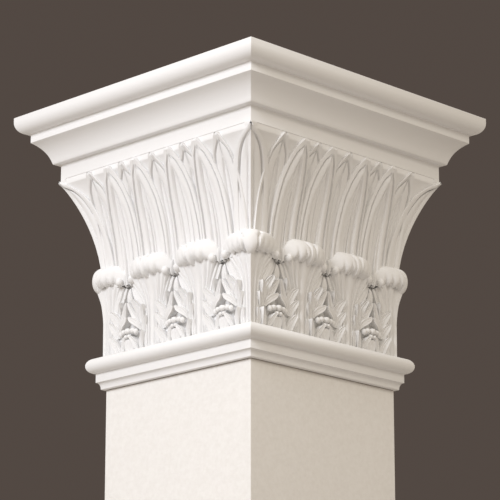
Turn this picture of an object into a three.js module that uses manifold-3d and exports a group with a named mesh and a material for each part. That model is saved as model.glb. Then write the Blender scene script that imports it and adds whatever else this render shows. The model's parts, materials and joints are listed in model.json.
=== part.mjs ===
// A square pier capital of two rows of leaves, resting on the top of its pier.
// Millimetres, +Z up. The origin is the middle of the pier's underside.
// The capital is one casting: neck mouldings, bell with its leaves, and a moulded abacus.

import * as THREE from 'three';
import { mergeVertices } from 'three/addons/utils/BufferGeometryUtils.js';
import Module from 'manifold-3d';

const wasm = await Module();
wasm.setup();

// ---- driving sizes ----------------------------------------------------------------------
// Heights on the capital are measured up from the pier's top. A "half" is half the width
// of a square section, so it is also the distance of that face from the axis.

const PIER_HALF = 150;
const PIER_LENGTH = 210;

const LIP_HALF = 156;
const LIP_TOP = 1.8;
const NECK_HALF = 161.4;
const NECK_BOTTOM = 10.9;
const TORUS_BOTTOM = 24.2;
const TORUS_HALF = 172.7;
const TORUS_TOP = 47.6;

const BELL_HALF = 144.5;
const LEAF_HALF = 154;
const FLARE_START = 112;
const FLARE_END = 317.6;
const FLARE = 48.5;
const FLARE_POWER = 2.5;
const LEAF_LIP = 2;

const BAND_HALF = 202.1;
const BAND_BOTTOM = 324;
const BAND_TOP = 347.6;
const CROWN_HALF = 211;
const CROWN_BOTTOM = 348.6;
const COVE_BOTTOM = 349.8;
const COVE_TOP_HALF = 234.9;
const COVE_SAG = 3.9;
const FILLET_HALF = 235.3;
const FILLET_BOTTOM = 382.8;
const FILLET_TOP = 396.4;
const TOP_HALF = 253.9;
const OVOLO_REACH = 15.2;
const OVOLO_TOP = 415.5;
const CAPITAL_HEIGHT = 422.4;

// upper row: long pointed leaves on the bell, with their tips just under the abacus. Reach is
// the half width, shoulder how far below the tip it is met, set how far the leaf stands back
// from its neighbours, and lean how much it is drawn towards the middle as the bell narrows.
const TIP_HEIGHT = 321.5;
const CORNER_LEAF = { reach: 34, shoulder: 45, set: 0, lean: 0 };
const WIDE_LEAF = { reach: 21.5, shoulder: 80, set: 0, lean: 0 };
const SLIM_LEAF = { reach: 15.5, shoulder: 60, set: 3, lean: 0 };
const SIDE_LEAF = { reach: 15.5, shoulder: 60, set: 3, lean: 0.38 };
const WIDE_PLACES = [-99, -38, 38, 99];
const SLIM_PLACES = [-68, 0, 68];
const SIDE_PLACES = [-139, 139];
const UPPER_FOOT = 150;

// lower row: curled leaves on stems, one folded over each corner and two on each face
const CURL_PLACES = [-48.5, 48.5];
const CURL_REACH = 46;
const CURL_HEIGHT = 164;
const CURL_AXIS = 155;
const CURL_OUT = 15;
const CURL_UP = 21;
const CORNER_CURL_REACH = 62;

// springs of small leaves that fill the gaps between the stems
const SPRING_PLACES = [-99, 0, 99];

// edges that stray from a straight run by less than this are taken out
const FINEST = 0.35;

// ---- solids -----------------------------------------------------------------------------

function toSolid(geometry) {
  const bare = geometry.clone();
  bare.deleteAttribute('normal');
  bare.deleteAttribute('uv');
  const merged = mergeVertices(bare, 1e-3);
  return new wasm.Manifold(new wasm.Mesh({
    numProp: 3,
    vertProperties: Float32Array.from(merged.attributes.position.array),
    triVerts: Uint32Array.from(merged.index.array),
  }));
}

function toGeometry(solid) {
  const mesh = solid.getMesh();
  const geometry = new THREE.BufferGeometry();
  geometry.setAttribute('position', new THREE.BufferAttribute(mesh.vertProperties, 3));
  geometry.setIndex(new THREE.BufferAttribute(mesh.triVerts, 1));
  geometry.computeVertexNormals();
  return geometry;
}

// A closed skin over rings of equally many points. Each ring runs anticlockwise about the
// direction in which the rings follow one another, and a fan closes each end.
function loft(rings) {
  const count = rings[0].length;
  const points = rings.flat();
  const faces = [];
  for (let row = 0; row < rings.length - 1; row += 1) {
    for (let i = 0; i < count; i += 1) {
      const a = row * count + i;
      const b = row * count + (i + 1) % count;
      faces.push(a, b, b + count, a, b + count, a + count);
    }
  }
  const middle = (ring) => ring.reduce((sum, p) => sum.add(p), new THREE.Vector3()).divideScalar(count);
  const first = points.push(middle(rings[0])) - 1;
  const last = points.push(middle(rings[rings.length - 1])) - 1;
  const top = (rings.length - 1) * count;
  for (let i = 0; i < count; i += 1) {
    const next = (i + 1) % count;
    faces.push(first, next, i);
    faces.push(last, top + i, top + next);
  }
  const geometry = new THREE.BufferGeometry().setFromPoints(points);
  geometry.setIndex(faces);
  return toSolid(geometry);
}

// A square section swept up a profile of [half, height] points that starts and ends on the axis.
function squareSweep(profile) {
  const outline = profile.map(([half, height]) => new THREE.Vector2(half * Math.SQRT2, height));
  const geometry = new THREE.LatheGeometry(outline, 4);
  geometry.rotateY(Math.PI / 4);
  geometry.rotateX(Math.PI / 2);
  return toSolid(geometry);
}

function arc(centreHalf, centreHeight, reach, rise, from, to, steps) {
  const points = [];
  for (let i = 0; i <= steps; i += 1) {
    const angle = THREE.MathUtils.degToRad(from + ((to - from) * i) / steps);
    points.push([centreHalf + reach * Math.cos(angle), centreHeight + rise * Math.sin(angle)]);
  }
  return points;
}

// The two copies of an array that are mirrored about its middle, sharing the middle entry.
function mirrored(half) {
  const left = half.slice(1).reverse().map(([across, depth]) => [-across, depth]);
  return [...left, ...half];
}

// ---- the bell and the plain mouldings -----------------------------------------------------

function flare(height) {
  return THREE.MathUtils.clamp((height - FLARE_START) / (FLARE_END - FLARE_START), 0, 1.031);
}

// the wall behind the leaves
function bellHalf(height) {
  return BELL_HALF + FLARE * flare(height) ** FLARE_POWER + 3.4 * (flare(height) / 1.031) ** 25;
}

// the surface that the leaves' own faces follow
function leafHalf(height) {
  const rise = Math.min(flare(height), 1);
  return LEAF_HALF + FLARE * rise ** FLARE_POWER + LEAF_LIP * rise ** 40;
}

function coreProfile() {
  const torusMiddle = (TORUS_BOTTOM + TORUS_TOP) / 2;
  const torusRise = (TORUS_TOP - TORUS_BOTTOM) / 2;
  const ovoloMiddle = TOP_HALF - OVOLO_REACH;
  const cove = new THREE.QuadraticBezierCurve(
    new THREE.Vector2(CROWN_HALF + 0.4, COVE_BOTTOM),
    new THREE.Vector2(CROWN_HALF + 6, COVE_BOTTOM + 21),
    new THREE.Vector2(COVE_TOP_HALF, FILLET_BOTTOM - 0.3),
  );
  const bellHeights = [TORUS_TOP, 112, 170, 210, 245, 270, 290, 307, BAND_BOTTOM];
  return [
    [0, 0],
    [PIER_HALF, 0],
    [LIP_HALF, 1],
    ...arc(NECK_HALF, LIP_TOP, LIP_HALF - NECK_HALF, NECK_BOTTOM - LIP_TOP, 0, 90, 2),
    [NECK_HALF, TORUS_BOTTOM],
    ...arc(NECK_HALF, torusMiddle, TORUS_HALF - NECK_HALF, torusRise, -90, 90, 7).slice(1),
    ...bellHeights.map((height) => [bellHalf(height), height]),
    [BAND_HALF, BAND_BOTTOM],
    [BAND_HALF, BAND_TOP],
    [CROWN_HALF, CROWN_BOTTOM],
    ...cove.getPoints(4).map((point) => [point.x, point.y]),
    [FILLET_HALF, FILLET_BOTTOM],
    [FILLET_HALF, FILLET_TOP],
    ...arc(ovoloMiddle, OVOLO_TOP, OVOLO_REACH, OVOLO_TOP - FILLET_TOP, -90, 0, 5),
    [TOP_HALF, CAPITAL_HEIGHT],
    [0, CAPITAL_HEIGHT],
  ];
}

// ---- places on the wall --------------------------------------------------------------------
// A wall point is given by its distance across, its height and the half at which it stands.

function onFace(across, height, out) {
  return new THREE.Vector3(out, across, height);
}

// Across is measured from the arris where the +X and +Y faces meet, on a wall of the given half.
function onCorner(across, height, out, wall) {
  const along = Math.min(out, wall - Math.abs(across));
  return across <= 0 ? new THREE.Vector3(out, along, height) : new THREE.Vector3(along, out, height);
}

// ---- leaves that lie on the wall -------------------------------------------------------------

const ROOT_DEPTH = 14;

// One closed leaf: rows of { height, wall, centre, reach }, with its relief as half of a
// section, [share of the reach, depth below the wall] from the middle outward.
function wallLeaf(rows, relief, cornered) {
  const section = mirrored(relief);
  const rings = rows.map(({ height, wall, centre, reach }) => {
    const put = (across, out) => (cornered
      ? onCorner(across, height, out, wall)
      : onFace(centre + across, height, out));
    const front = section.map(([share, depth]) => put(share * reach, wall - depth));
    const root = wall - ROOT_DEPTH;
    const back = cornered ? [put(reach, root), put(0, root), put(-reach, root)] : [put(reach, root), put(-reach, root)];
    return [...front, ...back];
  });
  return loft(rings);
}

const CORNER_RELIEF = [[0, 1.2], [0.16, 4], [0.55, 0.2], [0.62, 3.8], [0.7, 0.4], [1, 0.8]];
const WIDE_RELIEF = [[0, 3], [0.5, 0.2], [0.6, 3.8], [1, 0.6]];
const SLIM_RELIEF = [[0, 2.6], [0.6, 0.2], [1, 1]];

// the pointed outline: half width at a distance below the tip
function lanceReach(leaf, below) {
  const share = 1 - Math.min(below, leaf.shoulder) / leaf.shoulder;
  return Math.max(leaf.reach * (1 - share ** 2) ** 0.8, 2.5);
}

function lanceLeaf(leaf, place, relief, drops, cornered) {
  const tipHalf = leafHalf(TIP_HEIGHT);
  const rows = drops.map((below) => {
    const height = TIP_HEIGHT - below;
    const wall = leafHalf(height) - leaf.set;
    const drawnIn = Math.sign(place) * leaf.lean * (tipHalf - wall);
    return { height, wall, centre: place - drawnIn, reach: lanceReach(leaf, below) };
  });
  return wallLeaf(rows, relief, cornered);
}

function upperRow() {
  const foot = TIP_HEIGHT - UPPER_FOOT;
  const cornerDrops = [foot, 90, 52, 28, 12, 0];
  const drops = [foot, 84, 46, 20, 0];
  const slimDrops = [foot, 60, 26, 0];
  return [
    ...SLIM_PLACES.map((place) => lanceLeaf(SLIM_LEAF, place, SLIM_RELIEF, slimDrops, false)),
    ...SIDE_PLACES.map((place) => lanceLeaf(SIDE_LEAF, place, SLIM_RELIEF, slimDrops, false)),
    ...WIDE_PLACES.map((place) => lanceLeaf(WIDE_LEAF, place, WIDE_RELIEF, drops, false)),
    lanceLeaf(CORNER_LEAF, 0, CORNER_RELIEF, cornerDrops, true),
  ];
}

// ---- the curled leaves of the lower row ------------------------------------------------------

// One roll: stations of { middle, outward, height, out, up }, an oval section at each.
function roll(stations, sides) {
  const rings = stations.map(({ middle, outward, height, out, up }) => {
    const ring = [];
    for (let i = 0; i < sides; i += 1) {
      const angle = (2 * Math.PI * (i + 0.5)) / sides;
      const reach = out * Math.sin(angle);
      ring.push(new THREE.Vector3(
        middle.x + outward.x * reach,
        middle.y + outward.y * reach,
        height + up * Math.cos(angle),
      ));
    }
    return ring;
  });
  return loft(rings);
}

// the roll's fullness from its middle, 0, to its end, 1
function fullness(share) {
  return Math.sqrt(Math.max(1 - share ** 3.2, 0.1));
}

const ROLL_STEPS = [-1, -0.8, -0.4, 0, 0.4, 0.8, 1];

function faceCurl(place) {
  const stations = ROLL_STEPS.map((step) => {
    const full = fullness(Math.abs(step));
    return {
      middle: new THREE.Vector2(CURL_AXIS - 5 * step ** 2, place + CURL_REACH * step),
      outward: new THREE.Vector2(1, 0),
      height: CURL_HEIGHT - 5 * step ** 2,
      out: CURL_OUT * full,
      up: CURL_UP * full,
    };
  });
  return roll(stations, 7);
}

function cornerCurl() {
  const stations = ROLL_STEPS.map((step) => {
    const full = fullness(Math.abs(step));
    const turn = THREE.MathUtils.degToRad(45 + 42 * Math.sign(step) * Math.abs(step) ** 0.8);
    const inset = CORNER_CURL_REACH * Math.abs(step);
    const wall = CURL_AXIS + 3 - 5 * step ** 2;
    const middle = step <= 0 ? new THREE.Vector2(wall, wall - inset) : new THREE.Vector2(wall - inset, wall);
    return {
      middle,
      outward: new THREE.Vector2(Math.cos(turn), Math.sin(turn)),
      height: CURL_HEIGHT - 5 * step ** 2,
      out: CURL_OUT * full * 1.1,
      up: CURL_UP * full,
    };
  });
  return roll(stations, 7);
}

const STEM_RELIEF = [[0, 0], [0.46, 1.5], [1, 6]];
const STEM_SHAPE = [
  { height: 42, wall: 154, reach: 15.5 },
  { height: 104, wall: 154.4, reach: 17.5 },
  { height: 132, wall: 157, reach: 28 },
  { height: 156, wall: 161, reach: 40 },
];

function stem(place, cornered) {
  const rows = STEM_SHAPE.map((row) => ({ ...row, centre: place }));
  return wallLeaf(rows, STEM_RELIEF, cornered);
}

function lowerRow() {
  return [
    ...CURL_PLACES.map((place) => stem(place, false)),
    ...CURL_PLACES.map((place) => faceCurl(place)),
    stem(0, true),
    cornerCurl(),
  ];
}

// ---- the springs of small leaves between the stems ----------------------------------------------

const SPRIG_RELIEF = [[0, 0], [1, 2.5]];
const FOOT_LEAF = [
  { height: 42, wall: 150.5, reach: 10 },
  { height: 65, wall: 154, reach: 10 },
  { height: 71, wall: 150.5, reach: 6 },
];
const FAN_LEAF = [
  { height: 74, wall: 149, reach: 8 },
  { height: 87, wall: 153, reach: 15 },
  { height: 97, wall: 150, reach: 4 },
];
const HOOD = [[-21, 56], [-11, 77], [11, 77], [21, 56]];
const INNER_LEAFLET = [[23, 64], [8, 115]];
const OUTER_LOBE = [[31, 90], [6, 146]];

// A ridge of three-sided section along a path of [across, height] points on the wall.
function ridge(path, place, wall, thick, proud) {
  const rings = path.map(([across, height], i) => {
    const before = path[Math.max(i - 1, 0)];
    const after = path[Math.min(i + 1, path.length - 1)];
    const along = new THREE.Vector2(after[0] - before[0], after[1] - before[1]).normalize();
    const centre = place + across;
    const side = (sign) => onFace(centre + sign * along.y * thick, height - sign * along.x * thick, wall - 7);
    return [side(1), side(-1), onFace(centre, height, wall + proud)];
  });
  return loft(rings);
}

const flipped = (path) => path.map(([across, height]) => [-across, height]);

function spring(place) {
  const at = (rows) => rows.map((row) => ({ ...row, centre: place }));
  const pairs = [
    ridge(INNER_LEAFLET, place, 148.5, 6.5, 4),
    ridge(flipped(INNER_LEAFLET), place, 148.5, 6.5, 4),
    ridge(OUTER_LOBE, place, 149.5, 8, 5),
    ridge(flipped(OUTER_LOBE), place, 149.5, 8, 5),
  ];
  return [
    wallLeaf(at(FOOT_LEAF), SPRIG_RELIEF, false),
    wallLeaf(at(FAN_LEAF), SPRIG_RELIEF, false),
    ridge(HOOD, place, 148.5, 5.5, 4),
    ...pairs,
  ];
}

// The leaves enclose a few small pockets. A casting has none, so only the outer shell is kept.
// ---- the two pieces ---------------------------------------------------------------------------

function capitalSolid() {
  const oneFace = [...upperRow(), ...lowerRow(), ...SPRING_PLACES.flatMap((place) => spring(place))];
  let solid = squareSweep(coreProfile());
  for (let quarter = 0; quarter < 4; quarter += 1) {
    for (const leaf of oneFace) {
      solid = solid.add(leaf.rotate([0, 0, 90 * quarter]));
    }
  }
  const shells = solid.simplify(FINEST).decompose();
  return shells.reduce((most, shell) => (shell.volume() > most.volume() ? shell : most));
}

const stone = { color: 0xe9e5dd, roughness: 0.85, metalness: 0 };

const capital = new THREE.Mesh(toGeometry(capitalSolid()), new THREE.MeshStandardMaterial(stone));
capital.name = 'capital';
capital.position.z = PIER_LENGTH;

const pierTop = new THREE.Mesh(
  new THREE.BoxGeometry(2 * PIER_HALF, 2 * PIER_HALF, PIER_LENGTH),
  new THREE.MeshStandardMaterial(stone),
);
pierTop.name = 'pier_top';
pierTop.position.z = PIER_LENGTH / 2;

const model = new THREE.Group();
model.add(capital, pierTop);

export default model;
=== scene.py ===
# A square pier capital of two rows of leaves, cast in white stone, on the top of its pier.

import json
import math
from types import SimpleNamespace

import bpy
import numpy as np
from mathutils import Matrix, Vector

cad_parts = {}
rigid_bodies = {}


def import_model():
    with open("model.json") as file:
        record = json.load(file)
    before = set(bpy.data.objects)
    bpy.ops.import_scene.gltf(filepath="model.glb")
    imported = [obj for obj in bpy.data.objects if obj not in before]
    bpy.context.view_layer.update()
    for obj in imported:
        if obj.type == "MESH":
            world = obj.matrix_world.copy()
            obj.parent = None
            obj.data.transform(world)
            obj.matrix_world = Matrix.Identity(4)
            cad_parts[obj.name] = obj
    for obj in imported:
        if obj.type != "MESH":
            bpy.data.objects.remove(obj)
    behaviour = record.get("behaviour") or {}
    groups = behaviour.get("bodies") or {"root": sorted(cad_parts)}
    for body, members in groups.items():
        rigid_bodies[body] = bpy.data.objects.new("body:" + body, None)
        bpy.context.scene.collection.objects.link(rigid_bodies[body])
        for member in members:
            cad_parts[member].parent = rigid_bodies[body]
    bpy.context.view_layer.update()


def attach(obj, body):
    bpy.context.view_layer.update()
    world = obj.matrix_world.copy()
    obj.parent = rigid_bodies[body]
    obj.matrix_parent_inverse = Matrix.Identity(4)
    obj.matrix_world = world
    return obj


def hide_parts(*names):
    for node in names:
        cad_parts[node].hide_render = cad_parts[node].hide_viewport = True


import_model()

# ==== The bed and the mouldings ====
# The capital is one casting of fine white stone paste. Its square core carries the lip and
# the ring at the neck, the plain bell, and above the leaves a band, a cove, a fillet and an
# ovolo. They were struck with a running mould, so their arrises are only just eased.

MM = 0.001
PIER_LENGTH = 210.0
ARRIS_EASE = 0.7

BELL_HALF = 144.5
BELL_STEPS = 30
BELL_LIP = 3.4
BELL_LIP_CURVE = 25
LEAF_HALF = 154.0
LEAF_LIP = 2.0
LEAF_LIP_CURVE = 40
FLARE = 48.5
FLARE_CURVE = 2.5
FLARE_START = 112.0
FLARE_END = 317.6
TOP_RISE = 1.031
BAND_BOTTOM = 324.0


def rise(height):
    """How far up the flare a height lies: 0 at its start, 1 at its end, a little more above."""
    return min(max((height - FLARE_START) / (FLARE_END - FLARE_START), 0.0), TOP_RISE)


def bell_half(height):
    """Half the width of the plain bell at a height."""
    share = rise(height)
    return BELL_HALF + FLARE * share ** FLARE_CURVE + BELL_LIP * (share / TOP_RISE) ** BELL_LIP_CURVE


def leaf_half(height):
    """Half the width across the ground of the upper leaves at a height."""
    share = min(rise(height), 1.0)
    return LEAF_HALF + FLARE * share ** FLARE_CURVE + LEAF_LIP * share ** LEAF_LIP_CURVE


def arc(half, height, reach, lift, start, end, steps):
    """A round stretch of the profile about (half, height), from start to end in degrees."""
    angles = np.radians(np.linspace(start, end, steps + 1))
    return [(half + reach * math.cos(a), height + lift * math.sin(a)) for a in angles]


def cove(start, pull, end, steps):
    """A hollow stretch of the profile that bends towards pull."""
    start, pull, end = np.array(start), np.array(pull), np.array(end)
    return [tuple((1 - t) ** 2 * start + 2 * t * (1 - t) * pull + t * t * end)
            for t in np.linspace(0, 1, steps + 1)]


def closed_skin(rings):
    """Points and faces of a closed skin over equal rings, with a fan over each end."""
    rings = np.asarray(rings, float)
    rows, count = rings.shape[:2]
    points = np.vstack([rings.reshape(-1, 3), rings[0].mean(0), rings[-1].mean(0)])
    faces = []
    for r in range(rows - 1):
        for i in range(count):
            a, b = r * count + i, r * count + (i + 1) % count
            faces.append((a, b, b + count, a + count))
    first, last, top = rows * count, rows * count + 1, (rows - 1) * count
    for i in range(count):
        j = (i + 1) % count
        faces.append((first, j, i))
        faces.append((last, top + i, top + j))
    return points, faces


def square_ring(half, height):
    """One turn of a square section, with its four arrises eased."""
    tip = half - 0.3 * ARRIS_EASE
    side = [(half, -half + ARRIS_EASE), (half, half - ARRIS_EASE), (tip, tip)]
    ring = []
    for c, s in [(1, 0), (0, 1), (-1, 0), (0, -1)]:
        ring += [(c * x - s * y, s * x + c * y, height) for x, y in side]
    return ring


# The profile of the core as (half width, height): the bed, the lip and the ring at the neck.
CORE = [(150.0, 0.0), (155.4, 0.3), (156.0, 1.0)]
CORE += arc(161.4, 1.8, -5.4, 9.1, 0, 90, 6)
CORE += [(161.4, 24.2)]
CORE += arc(161.4, 35.9, 11.3, 11.7, -90, 90, 18)[1:]
# The bell, then the band, the cove and the fillet.
CORE += [(bell_half(height), height) for height in np.linspace(47.7, BAND_BOTTOM, BELL_STEPS)]
CORE += [(201.5, BAND_BOTTOM), (202.1, 324.6), (202.1, 347.0)]
CORE += [(202.5, 347.7), (210.5, 348.5), (211.0, 349.1)]
CORE += cove((211.4, 349.8), (217.0, 370.8), (234.6, 382.3), 14)
CORE += [(235.3, 382.9), (235.3, 395.8), (235.8, 396.4)]
# The ovolo and the top.
CORE += arc(238.7, 415.5, 15.2, 19.1, -90, 0, 14)
CORE += [(253.9, 421.8), (253.3, 422.4)]

casting_parts = [closed_skin([square_ring(half, height) for half, height in CORE])]

# ==== The upper row of leaves ====
# Long water leaves stand close together on the bell, and bare wall shows between their tips.
# Each is raised in the same paste, with a rounded rim, a deep groove inside it and a sunk
# middle. The slim ones lie flatter, and the widest is folded over the arris.

TIP_HEIGHT = 321.5
LEAF_LENGTH = 171.5
ROOT_DEPTH = 14.0
POINT_GAP = 0.012
DROPS = [0, 0.9, 2.2, 4, 6.5, 9.5, 13, 17, 21.5, 26.5, 32, 38, 45, 53, 62, 73, 86, 101, 118, 140, LEAF_LENGTH]

WIDE_PLACES = (-93.5, -36, 36, 93.5)
SLIM_PLACES = (-65, 0, 65)
SIDE_PLACES = (-135.5, 135.5)
LEAF_PLACES = sorted(WIDE_PLACES + SLIM_PLACES + SIDE_PLACES)
SIDE_LEAN = 0.2

# At a drop below the tip: how far the edge, the groove and the hollow are from the middle of
# the leaf, and how far the crest stands out of the ground.
WIDE_EDGE = [(0, 3.4), (3.5, 6), (7.5, 9.2), (11.5, 11.2), (15.5, 13.6), (19.5, 16), (23.5, 18),
             (31.5, 20.2), (46.5, 23.5), (56.5, 25.5), (66.5, 27), (81.5, 28), (100, 28.4)]
WIDE_GROOVE = [(10.5, 0), (15.5, 4.5), (21.5, 8.8), (36.5, 14.1), (51.5, 17.5), (61.5, 19.4),
               (81.5, 20.8), (121.5, 22.2)]
WIDE_HOLLOW = [(22, 0), (31.5, 2.6), (41.5, 5.2), (56.5, 8.7), (76.5, 11), (101.5, 12)]
WIDE_CREST = [(0, 3), (7.5, 4.6), (13.5, 6), (21.5, 8.2), (36, 7.6), (56, 7), (76, 5.7),
              (101, 4.8), (121, 4.2), (171, 3.2)]
SLIM_GROOVE = [(10, 0), (15, 4.5), (19.5, 8), (24.5, 11.5), (40, 15.5), (70, 18)]
SLIM_HOLLOW = [(29, 0), (36, 2.6), (46, 5), (60, 7)]
CORNER_EDGE = [(0, 1.5), (4, 5.8), (8, 13.2), (13, 18.8), (18, 22.8), (24, 26.8), (29, 29.5),
               (35, 31.5), (41, 32.9), (48, 33.6), (62, 33.6), (79, 32.6), (100, 32), (134, 31.2)]
CORNER_GROOVE = [(10.5, 0), (14, 8.2), (19, 13.4), (25, 16.9), (30, 18.9), (36, 20.1), (42, 20.9),
                 (60, 22), (80, 21.5), (94, 20.7), (114, 19.7), (136, 18)]

SLIM_SHARE = 0.92
RIM_LEAST = 3
WIDE_LIP = 5.4
WIDE_GROOVE_CUT = 4.4
WIDE_HOLLOW_CUT = 5.0
SLIM_GROOVE_CUT = 4.0
SLIM_HOLLOW_CUT = 3.6
CORNER_GROOVE_CUT = 4.6
CORNER_CREASE_CUT = 3.0
CORNER_LIFT = 2.8


def on_corner(across, height, out, wall):
    """A point on the two faces that meet at the arris where +X and +Y meet."""
    along = min(out, wall - abs(across))
    return (out, along, height) if across <= 0 else (along, out, height)


def step_up(value, start, end):
    """A smooth step from 0 at start to 1 at end."""
    share = min(max((value - start) / (end - start), 0.0), 1.0)
    return share * share * (3 - 2 * share)


def between(value, stops):
    """The value that a table of stops gives, with straight lines between them."""
    return float(np.interp(value, [stop[0] for stop in stops], [stop[1] for stop in stops]))


def wide_section(drop):
    """Half of a wide leaf's section, from its foot to its middle, as (across, depth).

    What stands out of the ground has a depth below nought.
    """
    edge = between(drop, WIDE_EDGE)
    band = min(between(drop, WIDE_GROOVE), max(edge - RIM_LEAST, 0))
    sunk = between(drop, WIDE_HOLLOW)
    crest = between(drop, WIDE_CREST)
    lip = min(crest, WIDE_LIP)
    cut = WIDE_GROOVE_CUT * step_up(band, 0, 4)
    floor = WIDE_HOLLOW_CUT * step_up(sunk, 0, 4)
    rib = min(1.7, sunk * 0.3)
    return [
        (edge, 9.5), (edge, -2.6), (edge - 0.9, -4.0), ((edge + band + 1.6) / 2, -0.5 * (4.2 + lip)),
        (band + 2.5, -lip), (band + 1.6, cut - lip), (band + 0.3, cut - lip),
        (band - 0.6, 0.8 * step_up(band, 0, 3) - lip), (band - 1.8, 0.1 - lip),
        ((band + sunk) / 2, -0.5 * (lip + crest) - 0.4), (sunk + 1.4, -crest),
        (sunk + 0.3, 0.9 * step_up(sunk, 0, 3) - crest), (sunk - 0.9, floor - crest),
        (sunk * 0.55, floor * 0.94 - crest), (rib + 0.5, floor - crest),
        (rib * 0.7, floor * 0.6 - crest), (0, floor * 0.5 - crest),
    ]


def slim_section(drop):
    """Half of a slim leaf's section. It lies flatter, and its hollow is shallower."""
    edge = SLIM_SHARE * between(max(drop - 1, 0), WIDE_EDGE)
    band = min(between(drop, SLIM_GROOVE), max(edge - RIM_LEAST, 0))
    sunk = between(drop, SLIM_HOLLOW)
    cut = SLIM_GROOVE_CUT * step_up(band, 0, 4)
    floor = SLIM_HOLLOW_CUT * step_up(sunk, 0, 3.5)
    rib = min(1.5, sunk * 0.25)
    return [
        (edge, 7), (edge, -1.2), (edge - 0.9, -2.6), ((edge + band + 2) / 2, -2.2), (band + 2.2, -1.4),
        (band + 1.4, cut - 0.6), (band + 0.2, cut - 0.6), (band - 0.6, 0.2), (band - 1.8, -0.6),
        ((band + sunk) / 2, -0.9), (sunk + 1.0, -0.9), (sunk, -0.2), (sunk - 1.0, floor - 0.8),
        (rib + 0.5, floor - 0.8), (rib * 0.6, floor * 0.4 - 0.8), (0, floor * 0.3 - 0.8),
    ]


def corner_section(drop):
    """Half of the folded leaf's section, with a crease on each side of the rib on the arris."""
    edge = between(drop, CORNER_EDGE)
    lobe = min(between(drop, CORNER_GROOVE), max(edge - 4, 0))
    cut = CORNER_GROOVE_CUT * step_up(lobe, 0, 5)
    crease = CORNER_CREASE_CUT * step_up(drop, 16, 40)
    rib = min(6.2, lobe * 0.4)
    lift = CORNER_LIFT * step_up(drop, 0, 12)
    fade = step_up(drop, 14, 34)
    return [
        (edge, 9.5), (edge, 1.4 - lift), (edge - 1.0, 0.2 - lift), ((edge + lobe + 2) / 2, -0.3 - lift),
        (lobe + 2.5, 0.8 - lift), (lobe + 1.5, cut), (lobe + 0.2, cut), (lobe - 0.8, 0.5),
        (lobe - 2.6, -0.6 * step_up(lobe, 0, 6)), ((lobe + rib + 2) / 2, -0.9 * step_up(lobe, 0, 8)),
        (rib + 2.4, 0.5 * fade), (rib + 1.0, crease), (rib + 0.2, crease), (rib * 0.75, 0.9 * fade),
        (rib * 0.3, 0.1), (0, 0),
    ]


def spread(section):
    """Keeps the points of a half section apart where the section closes up."""
    last = len(section) - 1
    reach = section[0][0]
    half = [(min(max(across, 0), reach) + POINT_GAP * (last - i), depth)
            for i, (across, depth) in enumerate(section[:-1])]
    return half + [(0.0, section[-1][1])]


def wall_leaf(rows, cornered):
    """One closed leaf from rows of (height, wall, centre, half section)."""
    rings = []
    for height, wall, centre, half in rows:
        half = spread(half)
        reach = half[0][0]
        section = [(-across, wall - depth) for across, depth in half]
        section += [(across, wall - depth) for across, depth in half[-2::-1]]
        roots = (reach, 0, -reach) if cornered else (reach, -reach)
        section += [(across, wall - ROOT_DEPTH) for across in roots]
        if cornered:
            rings.append([on_corner(across, height, out, wall) for across, out in section])
        else:
            rings.append([(out, centre + across, height) for across, out in section])
    return closed_skin(rings)


def lance_leaf(section, place, lean=0.0, cornered=False):
    """One upper leaf. With a lean, it draws towards the middle of the face lower down."""
    rows = []
    for drop in DROPS:
        height = TIP_HEIGHT - drop
        wall = leaf_half(height)
        drawn = math.copysign(lean, place) * (leaf_half(TIP_HEIGHT) - wall)
        rows.append((height, wall, place - drawn, section(drop)))
    return wall_leaf(rows, cornered)


PANEL_HEIGHTS = [324.4, 321.5, 319, 316, 312, 307, 301, 295, 289, 283, 277, 271, 265]
PANEL_SINK = 2
PANEL_TUCK = 3
PANEL_FRONT = 201.3
PANEL_DEPTH = 11
PANEL_LEAST = 0.6


def bare_wall(height):
    """Both ends of the bare wall in each gap between two leaves, tucked under their edges."""
    drop = max(TIP_HEIGHT - height, 0)
    grown = step_up(drop, 0, 3)
    reach = max(between(drop, WIDE_EDGE) * 0.9 - PANEL_TUCK, 0) * grown
    corner = leaf_half(height) - PANEL_SINK - max(between(drop, CORNER_EDGE) - PANEL_TUCK, 0) * grown
    starts = [-corner] + [place + reach for place in LEAF_PLACES]
    ends = [place - reach for place in LEAF_PLACES] + [corner]
    return list(zip(starts, ends))


def panels():
    """A closed slab for each gap, down to where the leaves beside it close it."""
    parts = []
    for gap in range(len(LEAF_PLACES) + 1):
        rings = []
        for height in PANEL_HEIGHTS:
            left, right = bare_wall(height)[gap]
            if right - left < PANEL_LEAST:
                break
            front = min(leaf_half(height) - PANEL_SINK, PANEL_FRONT)
            back = front - PANEL_DEPTH
            corners = [(front, left), (front, right), (back, right), (back, left)]
            rings.append([(out, across, height) for out, across in corners])
        if len(rings) > 1:
            parts.append(closed_skin(rings))
    return parts


quarter_parts = [lance_leaf(corner_section, 0, cornered=True)]
quarter_parts += [lance_leaf(wide_section, place) for place in WIDE_PLACES]
quarter_parts += [lance_leaf(slim_section, place) for place in SLIM_PLACES]
quarter_parts += [lance_leaf(slim_section, place, SIDE_LEAN) for place in SIDE_PLACES]
quarter_parts += panels()

# ==== The stems of the lower row ====
# Twelve acanthus leaves stand on the ring, seen as fluted stems that widen upwards: two on
# each face and one folded over each arris. Their ribs run up into the curled tips.

LOWER_PLACES = (-48.5, 48.5)
STEM_HEIGHTS = [42, 56, 72, 88, 100, 110, 119, 127, 134, 140, 146, 152, 158]

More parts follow.
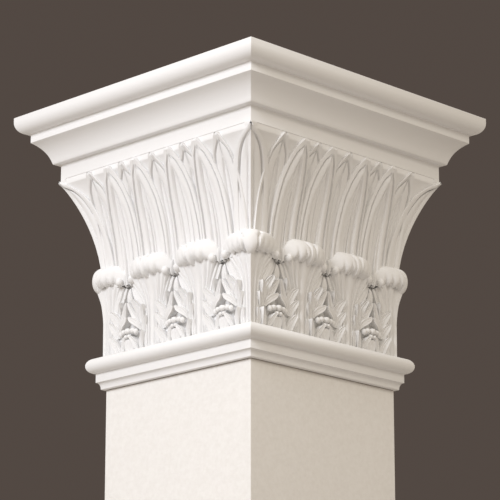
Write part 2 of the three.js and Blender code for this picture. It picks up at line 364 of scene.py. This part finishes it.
# At a height: how far out the ground is, and half the width of the stem and of its rib.
FACE_STEM = SimpleNamespace(
    wall=[(42, 154.3), (100, 155), (112, 156), (125, 157.6), (131, 159), (137, 160.6), (143, 162.6),
          (158, 167)],
    reach=[(42, 15.5), (100, 17), (119, 21), (134, 29), (146, 36), (158, 42)],
    rib=[(42, 3.2), (110, 4.0), (140, 6.5), (158, 8.0)])
CORNER_STEM = SimpleNamespace(
    wall=[(42, 154), (100, 154.2), (112, 154.8), (125, 156), (131, 157), (137, 158.2), (143, 160),
          (158, 163)],
    reach=[(42, 19.5), (100, 21), (119, 25), (134, 33), (146, 44), (158, 54)],
    rib=[(42, 3.3), (110, 4.2), (140, 7), (158, 9)])

# The three flutes beside the rib: a share of the way from the rib to the edge, and a depth.
FLUTES = [(0.11, 4.4), (0.19, 4.6), (0.27, 1.6), (0.36, 1.1), (0.45, 2.2), (0.51, 4.9), (0.58, 5.0),
          (0.66, 2.2), (0.76, 2.0), (0.84, 4.4), (0.89, 4.4), (0.95, 2.8)]


def stem_section(reach, rib):
    """Half of a stem's section, from its foot to the middle of its rib."""
    half = [(0, 0), (rib * 0.6, 0.3), (rib, 1.4)]
    half += [(rib + share * (reach - rib), depth) for share, depth in FLUTES]
    half += [(reach, 4.2), (reach, 11)]
    return half[::-1]


def stem(place, shape, cornered):
    """The stem of one lower leaf."""
    rows = []
    for height in STEM_HEIGHTS:
        section = stem_section(between(height, shape.reach), between(height, shape.rib))
        rows.append((height, between(height, shape.wall), place, section))
    return wall_leaf(rows, cornered)


quarter_parts += [stem(place, FACE_STEM, False) for place in LOWER_PLACES]
quarter_parts.append(stem(0, CORNER_STEM, True))

# ==== The curled tips of the lower leaves ====
# Each leaf's tip rolls forward and hangs over its stem. The roll has a middle lobe between two
# grooves that end above in drilled eyes, side lobes with a scalloped lower edge, and at each
# end a small bead under the edge that drops back to the wall.

CURL_MIDDLE = 166.0
CURL_BACK = 156.0
BEND_CENTRE = 150.0
BEND_REACH = 14.0
ROLL_ANGLES = [*range(112, -70, -9), -74]
LOBE_MARKS = (0, 0.45, 0.8, 0.93, 1, 1.08, 1.25, 1.5)
SIDE_START = 1.75
GROOVE_CUT = 3.4
EYE_CUT = 6.0
LOBE_CUT = 2.6
SCALLOP_CUT = 3.2
SCALLOP_RISE = 4.0

# Half the length of the roll, and along it how far it stays full, how wide the middle lobe is
# and where the eye, the notches and the bead are. Then how far it reaches out, up and down,
# and how much further the middle lobe hangs.
FACE_ROLL = SimpleNamespace(
    length=43.0, full=24.0, lobe=5.6, eye=8.6, notches=(13, 25.5), bead=36.0, side_marks=21,
    reach=21.5, lift=20.5, drop=15.5, lobe_drop=2.6, lobe_share=1.0)
CORNER_ROLL = SimpleNamespace(
    length=62.0, full=38.0, lobe=9.5, eye=19.0, notches=(20, 33, 45), bead=53.0, side_marks=26,
    reach=17.5, lift=18.5, drop=15.0, lobe_drop=6.5, lobe_share=0.95)


def on_roll(across, out, height, place, cornered):
    """A point on a roll. On a corner roll, across runs round the arris."""
    if not cornered:
        return (out, place + across, height)
    turn = math.radians(45 * min(max(across / BEND_REACH, -1), 1))
    past = max(abs(across) - BEND_REACH, 0)
    reach = out - BEND_CENTRE
    x = BEND_CENTRE + reach * math.cos(math.radians(45) + turn)
    y = BEND_CENTRE + reach * math.sin(math.radians(45) + turn)
    if across < 0:
        y -= past
    else:
        x -= past
    return (x, y, height)


def dip(value, middle, width):
    """A soft hump, 1 at the middle."""
    return math.exp(-((value - middle) / width) ** 2)


def carving(along, angle, shape):
    """How deep the roll is cut, this far along it and at this angle round it."""
    track = shape.lobe + (shape.eye - shape.lobe) * step_up(angle, 8, 66)
    depth = GROOVE_CUT * dip(along, track, 1.5 + 0.02 * max(angle, 0)) * (1 - step_up(angle, 62, 74))
    depth += EYE_CUT * dip(along, shape.eye, 2.1) * dip(angle, 58, 9)
    depth += LOBE_CUT * dip(along, shape.lobe + 0.5, 1.5) * step_up(-angle, 0, 45)
    for notch in shape.notches:
        depth += SCALLOP_CUT * dip(along, notch + 0.07 * angle, 1.7) * step_up(-angle, -30, 40)
    return depth


def roll(place, shape, cornered):
    """The roll of one tip, as rings round it from end to end."""
    lobe, length, full = shape.lobe, shape.length, shape.full
    half = [mark * lobe for mark in LOBE_MARKS]
    half += list(np.linspace(SIDE_START * lobe, length, shape.side_marks))
    rings = []
    for station in [-mark for mark in half[:0:-1]] + half:
        along = abs(station)
        end = max(1 - (along / length) ** 3.4, 0.0)
        fall = max(1 - (max(along - full, 0) / (length - full)) ** 2.2 * 0.72, 0.02)
        reach = shape.reach * max(1 - (along / (length * 1.13)) ** 2.6, 0.02) * max(end, 0.02) ** 0.25
        lift = shape.lift * fall * max(end, 0.02) ** 0.12
        drop = shape.drop + shape.lobe_drop * dip(along, 0, lobe * shape.lobe_share)
        for notch in shape.notches:
            drop -= SCALLOP_RISE * dip(along, notch, 2.0)
        drop *= max(end, 0.05) ** 0.2
        ring = []
        for angle in ROLL_ANGLES:
            c, n = math.cos(math.radians(angle)), math.sin(math.radians(angle))
            out = math.copysign(abs(c) ** 0.86, c) * reach
            up = math.copysign(abs(n) ** 0.92, n) * (lift if n > 0 else drop)
            depth = carving(along, angle, shape)
            size = math.hypot(out, up) or 1.0
            out -= depth * out / size
            up -= depth * up / size
            ring.append((out, up))
        ring += [(0.30 * reach, 0.35 * -drop), (-2.0, 0.2 * -drop), (-9.0, 0.2 * -drop), (-9.0, 0.6 * lift)]
        rings.append([on_roll(station, CURL_BACK + out, CURL_MIDDLE + up, place, cornered)
                      for out, up in ring])
    return closed_skin(rings)


def bead(centre, radii, place, cornered, rings=7, count=12):
    """A round bead with its centre and radii as (across, out, height)."""
    skin = []
    for tier in range(rings + 1):
        polar = math.pi * (tier + 0.25) / (rings + 0.5)
        ring = []
        for i in range(count):
            turn = 2 * math.pi * i / count
            across = centre[0] + radii[0] * math.sin(polar) * math.cos(turn)
            out = centre[1] + radii[1] * math.sin(polar) * math.sin(turn)
            height = centre[2] - radii[2] * math.cos(polar)
            ring.append(on_roll(across, out, height, place, cornered))
        skin.append(ring)
    return closed_skin([ring[::-1] for ring in skin])


def curl(place, shape, cornered):
    """A roll with a bead, and a longer one that joins it to the wall, under each end."""
    parts = [roll(place, shape, cornered)]
    for side in (-1, 1):
        parts.append(bead((side * shape.bead, 161.5, 154.5), (5.6, 7, 6.5), place, cornered))
        parts.append(bead((side * (shape.bead + 8), 154, 159), (2.4, 7, 12.5), place, cornered))
    return parts


for place in LOWER_PLACES:
    quarter_parts += curl(place, FACE_ROLL, False)
quarter_parts += curl(0, CORNER_ROLL, True)

# ==== The springs between the stems ====
# A tuft of small leaves fills each gap between two stems: a ribbed leaf at the foot, a row of
# knobs under a curved hood, and pairs of cupped leaves above, the last of them pointing up
# between the curls.

SPRING_PLACES = (-99, 0, 99)
SPRING_ROOT = 141.0
LEAFLET_STEPS = 9
SIDE_CUP = 1.5

# Across a leaflet: a share of its half width, and how deep it is hollowed there.
LEAFLET_SECTION = [(-1, 1.8), (-0.86, 0.2), (-0.55, 0.65), (-0.14, 1.0), (0, 0.45),
                   (0.14, 1.0), (0.55, 0.65), (0.86, 0.2), (1, 1.8)]

# The stops of a leaflet are (across, height, out, half width), from its root to its tip.
FOOT_LEAF = [(0, 42, 150, 8.5), (0, 52, 152.5, 9.5), (0, 61, 155, 9), (0, 66, 156, 6), (0, 67.5, 155, 2)]
TOP_LEAF = [(0, 118, 148, 3), (0, 125, 151.5, 6), (0, 133, 153, 5.5), (0, 141, 152.5, 3), (0, 145, 151, 1)]
HOOD = [(23, 80, 150, 2.5), (19, 87, 154, 4.6), (12.5, 92.5, 156.5, 5.2), (6, 96, 157.5, 3.8),
        (2.6, 100.5, 157.5, 1.2)]

# The stops, the cup and the tilt in degrees of each leaflet that has a fellow on the far side.
SIDE_LEAVES = [
    ([(17, 84, 150, 5), (13.5, 97, 154, 5.6), (8, 109, 156.5, 4.8), (3.6, 118, 158.5, 3),
      (2, 122.5, 158, 1)], 1.6, 0),
    ([(23, 92, 149, 4.5), (22, 104, 152.5, 6), (19, 114, 156.5, 5.6), (15.5, 121, 160, 3.8),
      (13, 125, 160.5, 1)], 3.0, -25),
    ([(24, 84, 150, 5), (26, 97, 153.5, 7), (29.5, 106, 157, 6), (34, 112, 160, 3),
      (36, 114, 160, 0.8)], 1.8, 12),
    ([(28, 74, 150, 5), (31, 85, 153.5, 6.6), (36, 93, 156.5, 4.6), (39.5, 97.5, 157.5, 1)], 1.8, 12),
    ([(24, 46, 150, 5), (25.5, 57, 153.5, 6.4), (29, 66, 157, 5.2), (33, 73, 160, 2.6),
      (34.5, 75, 160, 0.8)], 1.6, 18),
    ([(15, 44, 150, 3.2), (14.5, 54, 152.5, 4), (11, 63, 155.5, 3.6), (6.5, 69.5, 157.5, 2.4),
      (4, 71.5, 157, 0.8)], 1.0, 0),
    ([(35, 46, 150, 3.4), (36, 58, 152.5, 4), (38.5, 68, 154.5, 3.2), (41, 74, 155, 0.8)], 1.0, 0),
    ([(33, 88, 150, 3), (27, 104, 151, 4.2), (20, 120, 152.5, 4.6), (12, 134, 153.5, 4.2),
      (6, 146, 153, 2)], 0.8, 0),
    ([(36, 96, 150, 3), (31, 112, 152, 4.4), (24, 127, 154.5, 5), (17, 139, 156, 4.4),
      (12, 149, 156, 3)], 0.8, 0),
]

# The knobs under the hood, with their centres and radii.
MIDDLE_KNOB = ((0, 155, 79.5), (6.2, 5.5, 4.8))
SIDE_KNOBS = [((3.4, 154.5, 71.3), (3.3, 4.5, 3.4)), ((9.5, 154, 79), (4.6, 5, 4.2)),
              ((15.5, 153, 77), (4.0, 4.5, 4.6))]


def smooth_path(stops, steps):
    """Points on a smooth curve through the stops."""
    stops = np.asarray(stops, float)
    padded = np.vstack([2 * stops[0] - stops[1], stops, 2 * stops[-1] - stops[-2]])
    where = np.linspace(0, len(stops) - 1, steps)
    found = []
    for w in where:
        i = min(int(w), len(stops) - 2)
        t = w - i
        p0, p1, p2, p3 = padded[i:i + 4]
        found.append(0.5 * (2 * p1 + (p2 - p0) * t + (2 * p0 - 5 * p1 + 4 * p2 - p3) * t * t
                            + (3 * p1 - p0 - 3 * p2 + p3) * t ** 3))
    return found


def leaflet(stops, cup, place, tilt=0.0):
    """A cupped leaf along its stops, rooted in the wall."""
    path = smooth_path(stops, LEAFLET_STEPS)
    rings = []
    for i, (across, height, out, reach) in enumerate(path):
        before, after = path[max(i - 1, 0)], path[min(i + 1, LEAFLET_STEPS - 1)]
        along = np.array([after[0] - before[0], after[1] - before[1]])
        along /= np.linalg.norm(along) or 1.0
        side = np.array([along[1], -along[0]])
        reach = max(reach, 0.4)
        close = min(reach / 4.0, 1.0)
        ring = []
        for share, depth in LEAFLET_SECTION:
            depth = depth * cup * close if abs(share) < 0.9 else depth
            swing = share * reach
            push = swing * math.sin(math.radians(tilt))
            swing *= math.cos(math.radians(tilt))
            ring.append((out - depth + push, place + across + side[0] * swing, height + side[1] * swing))
        for share in (0.8, -0.8):
            swing = share * reach
            ring.append((SPRING_ROOT, place + across + side[0] * swing, height + side[1] * swing))
        rings.append(ring[::-1])
    return closed_skin(rings)


def mirror_stops(stops):
    """The stops of the same leaflet on the far side of its spring."""
    return [(-across, height, out, reach) for across, height, out, reach in stops]


def spring(place):
    """All the leaflets and knobs of one tuft."""
    parts = [leaflet(FOOT_LEAF, 1.6, place), leaflet(TOP_LEAF, 1.2, place)]
    parts += [leaflet(HOOD, 1.0, place), leaflet(mirror_stops(HOOD), 1.0, place)]
    for stops, cup, tilt in SIDE_LEAVES:
        parts.append(leaflet(stops, SIDE_CUP * cup, place, tilt))
        parts.append(leaflet(mirror_stops(stops), SIDE_CUP * cup, place, -tilt))
    parts.append(bead(*MIDDLE_KNOB, place, False, 5, 10))
    for (across, out, height), radii in SIDE_KNOBS:
        for side in (1, -1):
            parts.append(bead((side * across, out, height), radii, place, False, 5, 10))
    return parts


for place in SPRING_PLACES:
    quarter_parts += spring(place)

# ==== The casting ====
# Core and leaves come out of one mould as a single skin, so every shell is joined into one.
# The stone is a matt off-white with a fine pitted grain. Its hollows and creases are darkened to a warm brown
# by painted shade, with a little dust.

SMOOTH_ANGLE = 38
STONE_DARK = (0.77, 0.755, 0.73)
CASTING_PALE = (0.85, 0.84, 0.82)
# Painted shade: the next two give the warm brown that creases and hollows are darkened to, with a little
# dust, and how far out the shade is looked for.
DUST_AND_SHADE = (0.20, 0.13, 0.085)
DUST_AND_SHADE_REACH = 0.012


def shell_object(name, points, faces):
    """An object from points in millimetres, and faces."""
    mesh = bpy.data.meshes.new(name)
    mesh.from_pydata([tuple(p) for p in np.asarray(points) * MM], [], faces)
    mesh.update()
    shell = bpy.data.objects.new(name, mesh)
    bpy.context.scene.collection.objects.link(shell)
    return shell


def outward(points, faces):
    """The same faces, turned so that the skin faces outwards."""
    points = np.asarray(points, float)
    volume = 0.0
    for face in faces:
        a = points[face[0]]
        for i in range(1, len(face) - 1):
            volume += np.dot(a, np.cross(points[face[i]], points[face[i + 1]]))
    return faces if volume > 0 else [face[::-1] for face in faces]


def join_skins(name, parts):
    """One skin round all the closed parts."""
    body = shell_object(name, parts[0][0], outward(*parts[0]))
    others = bpy.data.collections.new(name + "_parts")
    bpy.context.scene.collection.children.link(others)
    for i, (points, faces) in enumerate(parts[1:]):
        piece = shell_object(f"{name}_{i}", points, outward(points, faces))
        bpy.context.scene.collection.objects.unlink(piece)
        others.objects.link(piece)
    union = body.modifiers.new("union", "BOOLEAN")
    union.operation = "UNION"
    union.operand_type = "COLLECTION"
    union.collection = others
    union.solver = "MANIFOLD"
    bpy.context.view_layer.update()
    joined = bpy.data.meshes.new_from_object(body.evaluated_get(bpy.context.evaluated_depsgraph_get()))
    for piece in [*others.objects, body]:
        bpy.data.objects.remove(piece)
    bpy.data.collections.remove(others)
    return joined


def mesh_part(mesh, turn):
    """A mesh as points and faces again, after so many quarter turns about the middle."""
    points = np.empty(len(mesh.vertices) * 3)
    mesh.vertices.foreach_get("co", points)
    x, y, z = (points.reshape(-1, 3) / MM).T
    c, s = [(1, 0), (0, 1), (-1, 0), (0, -1)][turn]
    turned = np.column_stack([c * x - s * y, s * x + c * y, z])
    return turned, [tuple(face.vertices) for face in mesh.polygons]


quarter = join_skins("quarter", quarter_parts)
casting_parts += [mesh_part(quarter, turn) for turn in range(4)]
casting = join_skins("casting", casting_parts)
# Blender finds small errors in the joined mesh, and this clears them.
casting.validate()
casting.transform(Matrix.Translation((0, 0, PIER_LENGTH * MM)))
casting.shade_smooth()
casting.set_sharp_from_angle(angle=math.radians(SMOOTH_ANGLE))

capital = bpy.data.objects.new("capital_casting", casting)
bpy.context.scene.collection.objects.link(capital)


def stone(name, pale, dark):
    """Matt cast stone: a fine grain, faint clouds of tone, and painted shade with a brown dust tint in the
    hollows.
    """
    material = bpy.data.materials.new(name)
    material.use_nodes = True
    nodes, links = material.node_tree.nodes, material.node_tree.links
    nodes.clear()
    out = nodes.new("ShaderNodeOutputMaterial")
    skin = nodes.new("ShaderNodeBsdfPrincipled")
    skin.inputs["Roughness"].default_value = 0.9
    links.new(skin.outputs["BSDF"], out.inputs["Surface"])
    place = nodes.new("ShaderNodeTexCoord")

    cloud = nodes.new("ShaderNodeTexNoise")
    cloud.inputs["Scale"].default_value = 170
    cloud.inputs["Detail"].default_value = 8
    tone = nodes.new("ShaderNodeValToRGB")
    tone.color_ramp.elements[0].position = 0.25
    tone.color_ramp.elements[0].color = (*dark, 1)
    tone.color_ramp.elements[1].position = 0.75
    tone.color_ramp.elements[1].color = (*pale, 1)
    links.new(place.outputs["Object"], cloud.inputs["Vector"])
    links.new(cloud.outputs["Fac"], tone.inputs["Fac"])

    grain = nodes.new("ShaderNodeTexNoise")
    grain.inputs["Scale"].default_value = 700
    grain.inputs["Detail"].default_value = 3
    bump = nodes.new("ShaderNodeBump")
    bump.inputs["Strength"].default_value = 0.25
    bump.inputs["Distance"].default_value = 0.0006
    links.new(place.outputs["Object"], grain.inputs["Vector"])
    links.new(grain.outputs["Fac"], bump.inputs["Height"])
    links.new(bump.outputs["Normal"], skin.inputs["Normal"])

    # Painted shade: an occlusion test darkens the colour in creases and hollows up to 12 mm across, towards a
    # warm brown that stands in for their shade, with a little dust.
    hollow = nodes.new("ShaderNodeAmbientOcclusion")
    hollow.samples = 8
    hollow.inputs["Distance"].default_value = DUST_AND_SHADE_REACH
    dust_and_shade = nodes.new("ShaderNodeValToRGB")
    dust_and_shade.color_ramp.elements[0].position = 0.26
    dust_and_shade.color_ramp.elements[0].color = (*DUST_AND_SHADE, 1)
    dust_and_shade.color_ramp.elements[1].position = 0.82
    dust_and_shade.color_ramp.elements[1].color = (1, 1, 1, 1)
    dusted_and_shaded = nodes.new("ShaderNodeMixRGB")
    dusted_and_shaded.blend_type = "MULTIPLY"
    dusted_and_shaded.inputs["Fac"].default_value = 1.0
    links.new(hollow.outputs["AO"], dust_and_shade.inputs["Fac"])
    links.new(tone.outputs["Color"], dusted_and_shaded.inputs["Color1"])
    links.new(dust_and_shade.outputs["Color"], dusted_and_shaded.inputs["Color2"])
    links.new(dusted_and_shaded.outputs["Color"], skin.inputs["Base Color"])
    return material


capital.data.materials.append(stone("cast_stone", CASTING_PALE, STONE_DARK))
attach(capital, "root")
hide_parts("capital")

# ==== The top of the pier ====
# The square pier under the capital, rendered smooth in the same stone, and cut off flat
# where the rest of it would go on. Its arrises are very slightly worn.

PIER_HALF = 150.0
PIER_TOP = 209.9
PIER_WEAR = 0.5
PIER_PALE = (0.83, 0.82, 0.80)

pier_rings = [square_ring(PIER_HALF - PIER_WEAR, 0), square_ring(PIER_HALF, PIER_WEAR)]
pier_rings += [square_ring(PIER_HALF, PIER_TOP - ARRIS_EASE), square_ring(PIER_HALF - PIER_WEAR, PIER_TOP)]
pier_points, pier_faces = closed_skin(pier_rings)
pier = shell_object("pier_shaft", pier_points, outward(pier_points, pier_faces))
pier.data.materials.append(stone("pier_stone", PIER_PALE, STONE_DARK))
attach(pier, "root")
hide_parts("pier_top")

# ==== Floor, light and camera ====
# A pale studio floor that can't be seen from underneath, a strong cool lamp high on the left
# and a weaker warm one high on the right, and a long lens that looks up at the near arris.

FLOOR_REACH = 4
FLOOR_COLOUR = (0.50, 0.47, 0.44)
ROOM_COLOUR = (0.49, 0.425, 0.345)
BACKDROP_COLOUR = (0.085, 0.066, 0.056)
LAMP_TARGET = (0, 0, 0.4)
LAMP_SIZE = 2.0
CAMERA_AZIMUTH = 44.76
CAMERA_DISTANCE = 3.6829
CAMERA_HEIGHT = -0.60085
CAMERA_PITCH = 15.5645
CAMERA_LENS = 183.67
CAMERA_SENSOR = 36

floor_mesh = bpy.data.meshes.new("floor")
floor_corners = [(FLOOR_REACH * x, FLOOR_REACH * y, 0) for x, y in ((-1, -1), (1, -1), (1, 1), (-1, 1))]
floor_mesh.from_pydata(floor_corners, [], [(0, 1, 2, 3)])
floor = bpy.data.objects.new("floor", floor_mesh)
bpy.context.scene.collection.objects.link(floor)
floor_paint = bpy.data.materials.new("floor_paint")
floor_paint.use_nodes = True
nodes, links = floor_paint.node_tree.nodes, floor_paint.node_tree.links
paint = nodes["Principled BSDF"]
paint.inputs["Base Color"].default_value = (*FLOOR_COLOUR, 1)
paint.inputs["Roughness"].default_value = 0.8
clear = nodes.new("ShaderNodeBsdfTransparent")
facing = nodes.new("ShaderNodeNewGeometry")
choice = nodes.new("ShaderNodeMixShader")
links.new(facing.outputs["Backfacing"], choice.inputs["Fac"])
links.new(paint.outputs["BSDF"], choice.inputs[1])
links.new(clear.outputs["BSDF"], choice.inputs[2])
links.new(choice.outputs["Shader"], nodes["Material Output"].inputs["Surface"])
floor.data.materials.append(floor_paint)


def lamp(name, place, power, colour):
    """A large soft round lamp that points at the leaves."""
    light = bpy.data.lights.new(name, "AREA")
    light.shape = "DISK"
    light.size = LAMP_SIZE
    light.energy = power
    light.color = colour
    lamp_object = bpy.data.objects.new(name, light)
    bpy.context.scene.collection.objects.link(lamp_object)
    lamp_object.location = place
    lamp_object.rotation_euler = (Vector(LAMP_TARGET) - Vector(place)).to_track_quat("-Z", "Y").to_euler()


lamp("key", (0.42, -3.72, 2.2), 128, (0.97, 0.99, 1.05))
lamp("fill", (3.3, -0.7, 2.9), 44, (1.0, 0.94, 0.85))

world = bpy.data.worlds.new("studio")
world.use_nodes = True
nodes, links = world.node_tree.nodes, world.node_tree.links
room = nodes["Background"]
room.inputs["Color"].default_value = (*ROOM_COLOUR, 1)
backdrop = nodes.new("ShaderNodeBackground")
backdrop.inputs["Color"].default_value = (*BACKDROP_COLOUR, 1)
path = nodes.new("ShaderNodeLightPath")
seen = nodes.new("ShaderNodeMixShader")
links.new(path.outputs["Is Camera Ray"], seen.inputs["Fac"])
links.new(room.outputs["Background"], seen.inputs[1])
links.new(backdrop.outputs["Background"], seen.inputs[2])
links.new(seen.outputs["Shader"], nodes["World Output"].inputs["Surface"])
bpy.context.scene.world = world
bpy.context.scene.view_settings.view_transform = "Standard"

lens = bpy.data.cameras.new("camera")
lens.lens = CAMERA_LENS
lens.sensor_width = CAMERA_SENSOR
camera = bpy.data.objects.new("camera", lens)
bpy.context.scene.collection.objects.link(camera)
turn = math.radians(CAMERA_AZIMUTH)
camera.location = (CAMERA_DISTANCE * math.sin(turn), -CAMERA_DISTANCE * math.cos(turn), CAMERA_HEIGHT)
camera.rotation_euler = (math.radians(90 + CAMERA_PITCH), 0, turn)
bpy.context.scene.camera = camera
